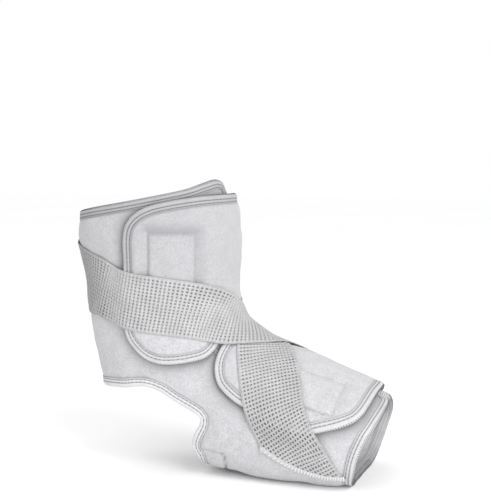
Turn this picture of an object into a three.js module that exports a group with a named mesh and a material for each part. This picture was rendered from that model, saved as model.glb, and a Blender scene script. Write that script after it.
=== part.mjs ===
// A padded night splint for the heel and arch, in the form that it has on a right foot.
// A fleece wrap covers the back of the leg, the sides of the foot and the sole, with an
// opening for the heel. Two bound flaps close its front, and two webbing straps sewn at the
// sole's edges cross over the instep and run round the ankle.
//
// Millimetres. +X points to the toes, -Y to the outer side of the foot, +Z up. The origin is
// the centre of the ankle, in the hollow of the splint.
//
// Everything lies on one form, the outer face of the wrap. A place on it has a station, from
// 0 at the rim of the cuff to 12 at the toe edge, and an angle in degrees, from 0 at the back
// of the leg or the sole through 90 on the outer side to 180 at the shin or the instep, with
// the inner side below 0. A height is measured outwards from the form.
import * as THREE from 'three';

// Overall sizes of the form
const SPLINT_LENGTH = 215;
const SPLINT_HEIGHT = 195;
const SPLINT_WIDTH = 98;

// Padded fleece, woven webbing and edge tape
const WRAP_THICKNESS = 5;
const SOLE_THICKNESS = 8;
const FLAP_THICKNESS = 4.5;
const WEBBING_WIDTH = 37;
const WEBBING_THICKNESS = 1.8;
const TAPE_WIDTH = 6;
const TAPE_THICKNESS = 0.7;

// Clearances: between two layers, and between a tape and the edge that it binds
const LAYER_GAP = 0.8;
const TAPE_GAP = 0.3;

// How far the padding takes to swell beside a tape, and how a strap comes down from a flap:
// it stays up for the reach past the edge, then sinks over the slope
const SWELL = 1.8;
const STRAP_REACH = 10;
const STRAP_SLOPE = 9;

// How finely the pieces are faceted: the length of a strap's facets, the rings across the wrap
// between its two collars, and the samples that even out the columns of an outline
const TRIANGLE_STEP = 7.5;
const WRAP_RINGS = 5;
const SAMPLES_PER_COLUMN = 24;

// Sections of the form. The back and front points are shares of the length and height, the
// half width is a share of the width, and flat squares off the sole side of the section.
const SECTION_COLUMNS = ['backX', 'backZ', 'frontX', 'frontZ', 'halfWidth', 'flat'];
const SECTIONS = [
  { name: 'cuff rim', row: [-0.272, 0.621, 0.204, 0.728, 0.434, 0] },
  { name: 'cuff, upper', row: [-0.274, 0.528, 0.211, 0.621, 0.429, 0] },
  { name: 'cuff, middle', row: [-0.253, 0.410, 0.216, 0.513, 0.418, 0] },
  { name: 'cuff, lower', row: [-0.235, 0.292, 0.213, 0.408, 0.408, 0] },
  { name: 'above the ankle', row: [-0.223, 0.169, 0.214, 0.316, 0.393, 0] },
  { name: 'top of the heel', row: [-0.198, 0.021, 0.243, 0.251, 0.393, 0] },
  { name: 'back of the heel', row: [-0.209, -0.133, 0.294, 0.206, 0.388, 0.03] },
  { name: 'under the heel', row: [-0.130, -0.221, 0.349, 0.171, 0.388, 0.06] },
  { name: 'front of the heel', row: [-0.019, -0.226, 0.415, 0.145, 0.398, 0.06] },
  { name: 'arch', row: [0.102, -0.226, 0.483, 0.121, 0.418, 0.06] },
  { name: 'middle of the foot', row: [0.242, -0.241, 0.553, 0.089, 0.459, 0.07] },
  { name: 'ball of the foot', row: [0.428, -0.259, 0.633, 0.054, 0.495, 0.08] },
  { name: 'toe edge', row: [0.647, -0.257, 0.716, 0.024, 0.500, 0.08] },
];
const lastStation = () => SECTIONS.length - 1;
const STATION_MARGIN = 0.6;
const SOLE_SHARE = 0.251;
const SOLE_LEVEL = -SOLE_SHARE * SPLINT_HEIGHT;

// Outlines, as rows of [station, angle]. Each list of spans goes once round its outline.
const WRAP_EDGE = [
  { name: 'cuff rim', columns: 20, rows: [
    [0.16, -148], [0.12, -130], [0.07, -90], [0.02, -45], [-0.03, 0], [-0.02, 45], [0.04, 90],
    [0.03, 130], [-0.07, 150]] },
  { name: 'outer front edge', columns: 20, rows: [
    [-0.1, 167], [0.16, 178], [1, 179], [2, 174], [3, 165], [4, 152], [5, 143], [6, 141], [7, 146],
    [8, 153], [9, 161], [10, 168], [11, 175], [11.7, 179]] },
  { name: 'toe edge', columns: 24, rows: [
    [12.12, 172], [12.17, 150], [12.09, 124], [12.02, 109], [11.96, 83], [11.97, 56], [11.97, 28], [11.97, 0],
    [11.97, -28], [11.97, -56], [11.97, -83], [11.97, -109], [11.92, -132]] },
  { name: 'inner front edge', columns: 18, rows: [
    [11.8, -147], [11.3, -154], [10, -156], [9, -153], [8, -148], [7, -142], [6, -136], [5, -134],
    [4, -138], [3, -146], [2, -152], [1, -155], [0.4, -154]] },
];
const HEEL_EDGE = [
  { name: 'top', columns: 20, rows: [
    [5.35, -64], [5.15, -45], [5.03, -22], [5.0, 0], [5.03, 22], [5.15, 45]] },
  { name: 'outer side', columns: 20, rows: [
    [5.35, 64], [5.6, 81], [6.0, 90], [6.55, 93], [7.2, 93], [7.8, 89], [8.11, 83], [8.33, 74],
    [8.53, 66]] },
  { name: 'sole', columns: 24, rows: [
    [8.8, 57], [9.12, 47], [9.37, 28], [9.45, 0], [9.37, -28], [9.12, -47]] },
  { name: 'inner side', columns: 18, rows: [
    [8.8, -57], [8.53, -66], [8.33, -74], [8.11, -83], [7.8, -89], [7.2, -93], [6.55, -93], [6.0, -90],
    [5.6, -81]] },
];
const LEG_FLAP_EDGE = [
  { name: 'free end', columns: 8, rows: [
    [0.75, 88.5], [1.1, 85.5], [1.6, 83.5], [2.3, 81.5], [3.0, 79.5], [3.7, 78], [4.15, 79]] },
  { name: 'lower edge', columns: 20, rows: [
    [4.5, 82.5], [4.86, 88.5], [5.17, 97], [5.42, 107], [5.64, 117], [5.79, 126], [5.7, 134], [5.36, 144],
    [4.95, 155], [4.65, 168], [4.5, 182], [4.42, 205], [4.35, 230], [4.2, 252]] },
  { name: 'sewn end', columns: 8, rows: [[3.95, 262], [3.4, 266], [2.6, 267], [1.8, 267], [1.0, 266]] },
  { name: 'upper edge', columns: 20, rows: [
    [0.55, 262], [0.38, 248], [0.35, 225], [0.37, 200], [0.38, 180], [0.35, 160], [0.3, 140], [0.28, 120],
    [0.32, 105], [0.47, 95]] },
];
const FOOT_FLAP_EDGE = [
  { name: 'free end', columns: 14, rows: [
    [6.75, 122], [7.35, 115.5], [8.05, 109.5], [8.75, 105], [9.5, 101], [10.2, 99], [10.75, 100.5]] },
  { name: 'toe side', columns: 14, rows: [
    [11.05, 106], [11.4, 114.5], [11.62, 123], [11.72, 134], [11.73, 148], [11.7, 165], [11.68, 182],
    [11.62, 205], [11.54, 230], [11.35, 251]] },
  { name: 'sewn end', columns: 14, rows: [
    [11.0, 262], [10.2, 266], [9.2, 267], [8.2, 267], [7.2, 267], [6.4, 266]] },
  { name: 'ankle side', columns: 14, rows: [
    [5.9, 261], [5.65, 248], [5.5, 228], [5.35, 205], [5.25, 185], [5.32, 168], [5.5, 153], [5.8, 140],
    [6.22, 130]] },
];

// Centre lines of the straps, as rows of [station, angle] for a strap sewn at the outer edge of
// the sole. Both start under the sole, so that their ends can be cut on a slant. The ankle
// strap is sewn at the inner edge, and takes its route mirrored.
const FOOT_STRAP_ROUTE = [
  [11.6, 36.7], [11.4, 53.6], [11.17, 67.7], [10.82, 82.2], [10.1, 100.6], [8.99, 124], [8.18, 140],
  [7.3, 157], [6.32, 178], [5.51, 198], [4.85, 215], [4.3, 235], [3.8, 256], [3.5, 276],
];
const ANKLE_STRAP_ROUTE = [
  [11.6, 36.7], [11.4, 53.6], [11.17, 67.7], [10.82, 82.2], [10.1, 100.6], [8.99, 124], [8.1, 140],
  [6.99, 157], [5.83, 178], [4.84, 198], [4.18, 215], [3.72, 235], [3.35, 256], [3.12, 270],
  [2.9, 283], [2.65, 296], [2.3, 311], [1.93, 335], [1.7, 365], [1.6, 400], [1.6, 440],
];
const ROUTE_STEPS = 60;

// The line that a strap is sewn along, and the angle that each strap reaches on its far side
const STRAP_CUT = { station: [10.2, 11.73], angle: [76.6, 58.5] };
const FOOT_STRAP_END = 254;
const ANKLE_STRAP_END = 428;

// Across a strap, the lanes of its facets as shares of the half width, and at its rounded end,
// how far a row lies past the last full width and how wide it still is, as the same shares
const STRAP_LANES = [-1, -0.5, 0, 0.5, 1];
const STRAP_SLANT_ROWS = 4;
const STRAP_END_ROWS = [
  { past: 0.42, width: 0.81 },
  { past: 0.75, width: 0.6 },
  { past: 0.94, width: 0.3 },
  { past: 1, width: 0.06 },
];

// Where the wrap is padded more under the foot, in stations and degrees, with the fade at the
// ends and the sides of the pad
const SOLE_PAD = { from: 9.6, to: 11.5, endFade: 0.6, side: 70, sideFade: 30 };

// Curves through rows of numbers

function cubic(before, start, end, after, share) {
  return start.map((value, i) => 0.5 * (2 * value + (end[i] - before[i]) * share
    + (2 * before[i] - 5 * value + 4 * end[i] - after[i]) * share ** 2
    + (3 * value - before[i] - 3 * end[i] + after[i]) * share ** 3));
}

function alongRows(rows, place) {
  const last = rows.length - 1;
  const index = Math.min(Math.max(Math.floor(place), 0), last - 1);
  const mirrored = (end, next) => end.map((value, i) => 2 * value - next[i]);
  const before = index > 0 ? rows[index - 1] : mirrored(rows[0], rows[1]);
  const after = index < last - 1 ? rows[index + 2] : mirrored(rows[last], rows[last - 1]);
  return cubic(before, rows[index], rows[index + 1], after, place - index);
}

function alongClosedRows(rows, place) {
  const count = rows.length;
  const index = Math.floor(place);
  const at = (i) => rows[((i % count) + count) % count];
  return cubic(at(index - 1), at(index), at(index + 1), at(index + 2), place - index);
}

const smooth = (share) => THREE.MathUtils.smoothstep(share, 0, 1);

// The form

function section(station) {
  const margin = THREE.MathUtils.clamp(station, -STATION_MARGIN, lastStation() + STATION_MARGIN);
  const values = alongRows(SECTIONS.map((entry) => entry.row), margin);
  return Object.fromEntries(SECTION_COLUMNS.map((column, i) => [column, values[i]]));
}

function formPoint([station, angle]) {
  const { backX, backZ, frontX, frontZ, halfWidth, flat } = section(station);
  const turn = THREE.MathUtils.degToRad(angle);
  const squared = flat * (1 + Math.cos(turn)) / 2;
  const along = (Math.cos(turn) - squared * Math.cos(3 * turn)) / (1 - squared);
  const across = (Math.sin(turn) + squared * Math.sin(3 * turn)) / (1 - flat / 2);
  const between = (back, front) => (back + front) / 2 - (front - back) / 2 * along;
  return new THREE.Vector3(between(backX, frontX) * SPLINT_LENGTH, -halfWidth * SPLINT_WIDTH * across,
    between(backZ, frontZ) * SPLINT_HEIGHT);
}

// How the form moves for one station and for one degree
function slopes([station, angle]) {
  const stationStep = 0.02;
  const angleStep = 0.5;
  const low = Math.max(station - stationStep, -STATION_MARGIN);
  const high = Math.min(station + stationStep, lastStation() + STATION_MARGIN);
  const perStation = formPoint([high, angle]).sub(formPoint([low, angle])).divideScalar(high - low);
  const perDegree = formPoint([station, angle + angleStep]).sub(formPoint([station, angle - angleStep]))
    .divideScalar(2 * angleStep);
  return { perStation, perDegree };
}

function formNormal(place) {
  const { perStation, perDegree } = slopes(place);
  return perStation.cross(perDegree).normalize();
}

// A point at a height over the form, with the underside of the sole flat on one level
function skinPoint(place, height) {
  const point = formPoint(place).addScaledVector(formNormal(place), height);
  point.z = Math.max(point.z, SOLE_LEVEL - Math.min(height, 0));
  return point;
}

// The place that lies a distance away along the form, and the direction there
function stepOver(place, direction, distance) {
  const { perStation, perDegree } = slopes(place);
  const a = perStation.dot(perStation);
  const b = perStation.dot(perDegree);
  const c = perDegree.dot(perDegree);
  const along = perStation.dot(direction) * distance;
  const around = perDegree.dot(direction) * distance;
  const spread = a * c - b * b;
  return [place[0] + (along * c - around * b) / spread, place[1] + (around * a - along * b) / spread];
}

// Outlines

function evenPlaces(placeAt, from, to, count) {
  const samples = SAMPLES_PER_COLUMN * count;
  const places = Array.from({ length: samples + 1 }, (_, i) => placeAt(from + (to - from) * i / samples));
  const travelled = [0];
  for (let i = 1; i <= samples; i += 1) {
    travelled.push(travelled[i - 1] + formPoint(places[i]).distanceTo(formPoint(places[i - 1])));
  }
  return Array.from({ length: count }, (_, i) => {
    const wanted = travelled[samples] * i / count;
    const next = Math.max(travelled.findIndex((length) => length > wanted), 1);
    const share = (wanted - travelled[next - 1]) / (travelled[next] - travelled[next - 1]);
    return placeAt(from + (to - from) * (next - 1 + share) / samples);
  });
}

function outline(spans) {
  const rows = spans.flatMap((span) => span.rows);
  let first = 0;
  return spans.flatMap((span) => {
    const from = first;
    first += span.rows.length;
    return evenPlaces((place) => alongClosedRows(rows, place), from, first, span.columns);
  });
}

// For each place on an outline, the direction along the form towards the inside of the sheet
function inwardDirections(loop, side) {
  const points = loop.map(formPoint);
  return loop.map((place, i) => {
    const along = points[(i + 1) % loop.length].clone().sub(points[(i + loop.length - 1) % loop.length]);
    return formNormal(place).cross(along).multiplyScalar(side).normalize();
  });
}

const inset = (loop, inward, distance) => loop.map((place, i) => stepOver(place, inward[i], distance));

const FULL_TURN = 360;
const nearAngle = (angle, middle) => angle - FULL_TURN * Math.round((angle - middle) / FULL_TURN);

function isInside(loop, [station, angle]) {
  let inside = false;
  loop.forEach(([s1, a1], i) => {
    const [s0, a0] = loop[(i + loop.length - 1) % loop.length];
    const crosses = (s1 > station) !== (s0 > station);
    if (crosses && angle < a1 + (a0 - a1) * (station - s1) / (s0 - s1)) inside = !inside;
  });
  return inside;
}

// 1 under a sheet and for a reach past its edge, and 0 beyond the slope that follows
function coverage(loop, place) {
  const middle = loop.reduce((sum, entry) => sum + entry[1], 0) / loop.length;
  const near = [place[0], nearAngle(place[1], middle)];
  if (isInside(loop, near)) return 1;
  const point = formPoint(near);
  const line = new THREE.Line3();
  const closest = new THREE.Vector3();
  const points = loop.map(formPoint);
  const distance = Math.min(...points.map((end, i) => {
    line.set(points[(i + points.length - 1) % points.length], end);
    return line.closestPointToPoint(point, true, closest).distanceTo(point);
  }));
  return smooth((STRAP_REACH + STRAP_SLOPE - distance) / STRAP_SLOPE);
}

// Closed solids from rings of points

class Solid {
  constructor() {
    this.points = [];
    this.triangles = [];
  }

  ring(points) {
    const first = this.points.length;
    this.points.push(...points);
    return points.map((_, i) => first + i);
  }

  quad(a, b, c, d) {
    this.triangles.push(a, b, c, a, c, d);
  }

  band(ring, next) {
    ring.forEach((_, i) => {
      const j = (i + 1) % ring.length;
      this.quad(ring[i], ring[j], next[j], next[i]);
    });
  }

  geometry() {
    const at = (i) => this.points[this.triangles[i]];
    let volume = 0;
    for (let i = 0; i < this.triangles.length; i += 3) {
      volume += at(i).dot(at(i + 1).clone().cross(at(i + 2)));
    }
    const order = volume < 0 ? this.triangles.slice().reverse() : this.triangles;
    const geometry = new THREE.BufferGeometry().setFromPoints(this.points);
    geometry.setIndex(order);
    geometry.computeVertexNormals();
    return geometry;
  }
}

// A solid whose rings close on themselves, such as a tape round an edge
function ringSolid(rings) {
  const solid = new Solid();
  const indexed = rings.map((ring) => solid.ring(ring));
  indexed.forEach((ring, i) => solid.band(ring, indexed[(i + 1) % indexed.length]));
  return solid.geometry();
}

// A solid swept from a first section to a last one, whose sections are an upper and a lower row
function stripSolid(sections) {
  const solid = new Solid();
  const indexed = sections.map(({ upper, lower }) => solid.ring([...upper, ...lower.slice().reverse()]));
  indexed.slice(1).forEach((ring, i) => solid.band(indexed[i], ring));
  const cap = (ring, facing) => {
    for (let i = 0; i < ring.length / 2 - 1; i += 1) {
      const corners = [ring[i], ring[i + 1], ring[ring.length - 2 - i], ring[ring.length - 1 - i]];
      solid.quad(...(facing ? corners : corners.reverse()));
    }
  };
  cap(indexed[0], false);
  cap(indexed[indexed.length - 1], true);
  return solid.geometry();
}

// Fills a closed ring of 2 x (width + depth) places with a grid of places
function fillGrid(ring, width, depth) {
  const mix = (p, q, share) => [p[0] + (q[0] - p[0]) * share, p[1] + (q[1] - p[1]) * share];
  const left = (j) => ring[(ring.length - j) % ring.length];
  const top = (i) => ring[i];
  const right = (j) => ring[width + j];
  const bottom = (i) => ring[2 * width + depth - i];
  return Array.from({ length: depth + 1 }, (_, j) => Array.from({ length: width + 1 }, (__, i) => {
    if (j === 0) return top(i);
    if (j === depth) return bottom(i);
    if (i === 0) return left(j);
    if (i === width) return right(j);
    const across = mix(left(j), right(j), i / width);
    const down = mix(top(i), bottom(i), j / depth);
    const ends = [mix(top(0), top(width), i / width), mix(bottom(0), bottom(width), i / width)];
    const corners = mix(ends[0], ends[1], j / depth);
    return [across[0] + down[0] - corners[0], across[1] + down[1] - corners[1]];
  }));
}

// Sheets of padded fleece and the tapes that bind them

const TAPE_SPACE = TAPE_THICKNESS + TAPE_GAP;
const COLLAR = [0, TAPE_WIDTH + TAPE_GAP, TAPE_WIDTH + TAPE_GAP + SWELL];

// The wrap's faces: its outer one is the form, and the pad under the foot is thicker
function solePad([station, angle]) {
  const { from, to, endFade, side, sideFade } = SOLE_PAD;
  const lengthways = smooth((station - from) / endFade) * smooth((to - station) / endFade);
  return lengthways * smooth((side - Math.abs(angle)) / sideFade);
}
const wrapFaces = (place) => ({
  upper: 0,
  lower: -WRAP_THICKNESS - (SOLE_THICKNESS - WRAP_THICKNESS) * solePad(place),
});
const flapFaces = () => ({ upper: LAYER_GAP + FLAP_THICKNESS, lower: LAYER_GAP });

function sheetPoints(places, faces, squeeze) {
  return {
    upper: places.map((place) => skinPoint(place, faces(place).upper - squeeze)),
    lower: places.map((place) => skinPoint(place, faces(place).lower + squeeze)),
  };
}

function wrapSolid(outerLoop, innerLoop) {
  const outward = inwardDirections(innerLoop, 1);
  const inward = inwardDirections(outerLoop, -1);
  const start = inset(innerLoop, outward, COLLAR[2]);
  const end = inset(outerLoop, inward, COLLAR[2]);
  const rings = [
    sheetPoints(innerLoop, wrapFaces, TAPE_SPACE),
    sheetPoints(inset(innerLoop, outward, COLLAR[1]), wrapFaces, TAPE_SPACE),
  ];
  for (let i = 0; i <= WRAP_RINGS; i += 1) {
    const share = i / WRAP_RINGS;
    const places = start.map((place, k) => place.map((value, j) => value + (end[k][j] - value) * share));
    rings.push(sheetPoints(places, wrapFaces, 0));
  }
  rings.push(sheetPoints(inset(outerLoop, inward, COLLAR[1]), wrapFaces, TAPE_SPACE));
  rings.push(sheetPoints(outerLoop, wrapFaces, TAPE_SPACE));
  return ringSolid([...rings.map((ring) => ring.upper), ...rings.map((ring) => ring.lower).reverse()]);
}

function flapSolid(loop, spans) {
  const inward = inwardDirections(loop, 1);
  const collar = COLLAR.map((distance) => inset(loop, inward, distance));
  const squeeze = [TAPE_SPACE, TAPE_SPACE, 0];
  const rings = collar.map((places, i) => sheetPoints(places, flapFaces, squeeze[i]));
  const solid = new Solid();
  const upper = rings.map((ring) => solid.ring(ring.upper));
  const lower = rings.map((ring) => solid.ring(ring.lower));
  const order = [upper[2], upper[1], upper[0], lower[0], lower[1], lower[2]];
  order.slice(1).forEach((ring, i) => solid.band(order[i], ring));
  const width = spans[0].columns;
  const depth = spans[1].columns;
  const grid = fillGrid(collar[2], width, depth);
  const fill = (edge, face, facing) => {
    const index = grid.map((row, j) => row.map((place, i) => {
      if (j === 0) return edge[i];
      if (j === depth) return edge[2 * width + depth - i];
      if (i === 0) return edge[(edge.length - j) % edge.length];
      if (i === width) return edge[width + j];
      return solid.ring([skinPoint(place, flapFaces(place)[face])])[0];
    }));
    for (let j = 0; j < depth; j += 1) {
      for (let i = 0; i < width; i += 1) {
        const corners = [index[j][i], index[j + 1][i], index[j + 1][i + 1], index[j][i + 1]];
        solid.quad(...(facing ? corners : corners.reverse()));
      }
    }
  };
  fill(upper[2], 'upper', true);
  fill(lower[2], 'lower', false);
  return solid.geometry();
}

// A tape folded over an edge, with both legs level with the faces of the padded sheet. The
// rings run the same way as the sheet's, so that both have their facets split alike.
function tapeSolid(loop, side, faces, sheetRunsOut) {
  const inward = inwardDirections(loop, side);
  const nose = -TAPE_GAP - TAPE_THICKNESS;
  const ringAt = (distance, height) => inset(loop, inward, distance)
    .map((place) => skinPoint(place, height(faces(place))));
  const rings = [
    ringAt(TAPE_WIDTH, (face) => face.upper),
    ringAt(nose, (face) => face.upper),
    ringAt(nose, (face) => face.lower),
    ringAt(TAPE_WIDTH, (face) => face.lower),
    ringAt(TAPE_WIDTH, (face) => face.lower + TAPE_THICKNESS),
    ringAt(-TAPE_GAP, (face) => face.lower + TAPE_THICKNESS),
    ringAt(-TAPE_GAP, (face) => face.upper - TAPE_THICKNESS),
    ringAt(TAPE_WIDTH, (face) => face.upper - TAPE_THICKNESS),
  ];
  return ringSolid(sheetRunsOut ? rings.reverse() : rings);
}

// Webbing straps

const mirrorPlace = ([station, angle]) => [station, -angle];

// The strap's place a distance along its centre line and a distance across it
function strapPlace(route, along, across) {
  const index = along / route.spacing;
  const lookAhead = 0.05;
  const place = alongRows(route.places, index);
  const ahead = formPoint(alongRows(route.places, index + lookAhead));
  const direction = ahead.sub(formPoint(place)).cross(formNormal(place)).normalize();
  const steps = 4;
  let current = place;
  for (let i = 0; i < steps; i += 1) {
    const normal = formNormal(current);
    direction.addScaledVector(normal, -normal.dot(direction)).normalize();
    current = stepOver(current, direction, across / steps);
  }
  return current;
}

function strapRoute(rows, end) {
  const angles = rows.map((row) => row[1]);
  const next = angles.findIndex((angle) => angle >= end);
  const last = next - 1 + (end - angles[next - 1]) / (angles[next] - angles[next - 1]);
  const placeAt = (place) => alongRows(rows, place);
  const places = [...evenPlaces(placeAt, 0, last, ROUTE_STEPS), placeAt(last)];
  const length = places.slice(1)
    .reduce((sum, place, i) => sum + formPoint(place).distanceTo(formPoint(places[i])), 0);
  return { places, spacing: length / ROUTE_STEPS, length };
}

// How far along the strap its slanted end is cut, at a distance across it
function cutDistance(route, across) {
  const { station, angle } = STRAP_CUT;
  const past = (along) => {
    const place = strapPlace(route, along, across);
    const share = (place[0] - station[0]) / (station[1] - station[0]);
    return place[1] - (angle[0] + (angle[1] - angle[0]) * share);
  };
  const halvings = 24;
  let low = 0;
  let high = 2 * WEBBING_WIDTH;
  for (let i = 0; i < halvings; i += 1) {
    const middle = (low + high) / 2;
    if (past(middle) > 0) high = middle;
    else low = middle;
  }
  return low;
}

function strapSolid(route, side, layersBelow) {
  const half = WEBBING_WIDTH / 2;
  const cuts = STRAP_LANES.map((lane) => cutDistance(route, lane * half));
  const squareFrom = Math.max(...cuts) + TRIANGLE_STEP;
  const straight = route.length - half - squareFrom;
  const straightRows = Math.ceil(straight / TRIANGLE_STEP);
  const rows = [];
  for (let i = 0; i < STRAP_SLANT_ROWS; i += 1) {
    const share = i / STRAP_SLANT_ROWS;
    rows.push(STRAP_LANES.map((lane, k) => [cuts[k] + (squareFrom - cuts[k]) * share, lane * half]));
  }
  for (let i = 0; i <= straightRows; i += 1) {
    rows.push(STRAP_LANES.map((lane) => [squareFrom + straight * i / straightRows, lane * half]));
  }
  STRAP_END_ROWS.forEach(({ past, width }) => {
    rows.push(STRAP_LANES.map((lane) => [route.length - half + half * past, lane * half * width]));
  });
  return stripSolid(rows.map((row) => {
    const places = row.map(([along, across]) => strapPlace(route, along, across))
      .map((place) => (side > 0 ? place : mirrorPlace(place)));
    const bases = places.map((place) => LAYER_GAP + layersBelow(place));
    const faceAt = (height) => places.map((place, i) => skinPoint(place, bases[i] + height));
    return { upper: faceAt(WEBBING_THICKNESS), lower: faceAt(0) };
  }));
}

// The outline of the outer strap on the form, for the strap that crosses over it
function strapOutline(route) {
  const half = WEBBING_WIDTH / 2;
  const edge = (lane) => {
    const start = cutDistance(route, lane * half);
    const count = Math.ceil((route.length - start) / TRIANGLE_STEP);
    return Array.from({ length: count + 1 }, (_, i) => strapPlace(route,
      start + (route.length - start) * i / count, lane * half));
  };
  return [...edge(-1), ...edge(1).reverse()];
}

// The pieces

const wrapEdge = outline(WRAP_EDGE);
const heelEdge = outline(HEEL_EDGE);
const legFlapEdge = outline(LEG_FLAP_EDGE);
const footFlapEdge = outline(FOOT_FLAP_EDGE);
const footStrapRoute = strapRoute(FOOT_STRAP_ROUTE, FOOT_STRAP_END);
const ankleStrapRoute = strapRoute(ANKLE_STRAP_ROUTE, ANKLE_STRAP_END);
const footStrapEdge = strapOutline(footStrapRoute);

const flapTop = LAYER_GAP + FLAP_THICKNESS;
const underFootStrap = (place) => (
  flapTop * Math.max(coverage(legFlapEdge, place), coverage(footFlapEdge, place)));
const underAnkleStrap = (place) => (
  underFootStrap(place) + coverage(footStrapEdge, place) * (LAYER_GAP + WEBBING_THICKNESS));

const fleece = () => new THREE.MeshStandardMaterial({ color: 0xd6d5d8, roughness: 0.95, metalness: 0 });
const webbing = () => new THREE.MeshStandardMaterial({ color: 0xc9c8c8, roughness: 0.85, metalness: 0 });
const tape = () => new THREE.MeshStandardMaterial({ color: 0xbebcbc, roughness: 0.8, metalness: 0 });

const splint = new THREE.Group();

function addPiece(name, geometry, material) {
  const mesh = new THREE.Mesh(geometry, material);
  mesh.name = name;
  splint.add(mesh);
}

addPiece('main_wrap', wrapSolid(wrapEdge, heelEdge), fleece());
addPiece('wrap_edge_binding', tapeSolid(wrapEdge, -1, wrapFaces, true), tape());
addPiece('heel_opening_binding', tapeSolid(heelEdge, 1, wrapFaces, false), tape());
addPiece('leg_flap', flapSolid(legFlapEdge, LEG_FLAP_EDGE), fleece());
addPiece('leg_flap_binding', tapeSolid(legFlapEdge, 1, flapFaces, true), tape());
addPiece('foot_flap', flapSolid(footFlapEdge, FOOT_FLAP_EDGE), fleece());
addPiece('foot_flap_binding', tapeSolid(footFlapEdge, 1, flapFaces, true), tape());
addPiece('foot_strap', strapSolid(footStrapRoute, 1, underFootStrap), webbing());
addPiece('ankle_strap', strapSolid(ankleStrapRoute, -1, underAnkleStrap), webbing());

export default splint;
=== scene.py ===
# The finished surfaces of a padded night splint: puffed fleece, folded edge tape, stitches and
# open woven webbing, in a plain pale studio.
#
# Every soft piece lies on one form, the outer face of the wrap. A place on it has a station,
# from 0 at the rim of the cuff to 12 at the toe edge, and an angle in degrees, from 0 at the
# back of the leg or the sole through 90 on the outer side to 180 at the shin or the instep.
# Lengths are in millimetres here, and the meshes are in metres.
import math

import bpy
import numpy as np
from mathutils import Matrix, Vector
from mathutils.kdtree import KDTree


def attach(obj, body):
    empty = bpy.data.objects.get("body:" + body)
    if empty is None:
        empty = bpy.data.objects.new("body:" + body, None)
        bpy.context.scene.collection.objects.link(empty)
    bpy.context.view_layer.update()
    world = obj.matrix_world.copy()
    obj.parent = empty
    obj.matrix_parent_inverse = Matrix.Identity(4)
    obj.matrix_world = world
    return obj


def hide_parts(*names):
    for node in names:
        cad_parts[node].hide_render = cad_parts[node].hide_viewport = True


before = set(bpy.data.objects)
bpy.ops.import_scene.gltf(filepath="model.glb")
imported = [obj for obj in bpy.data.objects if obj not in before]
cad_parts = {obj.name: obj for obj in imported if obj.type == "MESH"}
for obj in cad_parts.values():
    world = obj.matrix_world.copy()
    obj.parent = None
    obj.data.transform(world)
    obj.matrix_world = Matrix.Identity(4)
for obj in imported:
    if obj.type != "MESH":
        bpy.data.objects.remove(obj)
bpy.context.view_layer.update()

METRES = 0.001

# The form and its layers
SPLINT_LENGTH = 215
SPLINT_HEIGHT = 195
SPLINT_WIDTH = 98
WRAP_THICKNESS = 5
SOLE_THICKNESS = 8
FLAP_THICKNESS = 4.5
WEBBING_WIDTH = 37
LAYER_GAP = 0.8
FLAP_TOP = LAYER_GAP + FLAP_THICKNESS
SOLE_LEVEL = -0.251 * SPLINT_HEIGHT
SOLE_PAD = {"from": 9.6, "to": 11.5, "end_fade": 0.6, "side": 70, "side_fade": 30}

# Edge tape: how far it reaches over a sheet, its thickness, its fold and its stitched grooves
TAPE_REACH = 5.5
TAPE_THICKNESS = 0.7
TAPE_NOSE = 0.8
TAPE_FOLD = {"steps": 13, "clear": 0.15, "inside": 0.6}
TAPE_EASE = 0.12
TAPE_GROOVES = (2.4, 4.4)
TAPE_GROOVE_DEPTH = 0.5
TAPE_GROOVE_WIDTH = 0.36
TAPE_ROWS = (5.5, 5.3, 5.0, 4.75, 4.55, 4.4, 4.25, 4.05, 3.4, 2.75, 2.55, 2.4, 2.25, 2.05, 1.8)
TAPE_ROW_LENGTH = 0.6
RIB_OF_TAPE = 0.75
CORD_OF_TAPE = 0.6

# How the padding swells between its seams: its edge is tucked into the tape, and the rows of
# its collar stand at these distances from that edge
PAD_REACH = 8
PAD_UNDER_TAPE = 0.4
SEAM_DEPTH = 0.7
EDGE_TUCK = 1.1
COLLAR = (0.8, 3.2, 5.2, 5.9, 6.4, 7.0, 7.8, 9.1)
WRAP_RINGS = {"face": 62, "lining": 26}
WRAP_SWELL = 0.4
LINING = {"swell": 0.3, "slow": 0.2}
LEG_PADDING = {"swell": 1.5, "seam": -1.5, "reach": 9.5, "patch": -0.2}
FOOT_PADDING = {"swell": 0.6, "seam": -0.5, "reach": 6, "patch": 0.5}
PATCH_RISE = 3
FLAP_LINING = {"collar": 0.3, "middle": 0.1}
FLAP_COVER = {"fade": 3.5, "top": 0.1}
STRAP_PRESS = {"from": 0.4, "fade": 2.4}
STRAP_BULGE = {"centre": 3.2, "width": 2.2}

# The padded sheets: the heights of the face and of the tape's two sides, the unevenness, how
# far the padding bulges beside a strap, and the depth that it is pressed towards under one,
# about a quarter of the way
WRAP_SHEET = {"top": 0, "tape": (0.2, -WRAP_THICKNESS), "slow": 0.42, "quick": 0.16,
              "bulge": 0.15, "pressed": 0.9}
FLAP_SHEET = {"top": FLAP_TOP, "tape": (FLAP_TOP, LAYER_GAP), "slow": 0.30, "quick": 0.14,
              "bulge": 0.45, "pressed": 1.2}

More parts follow.
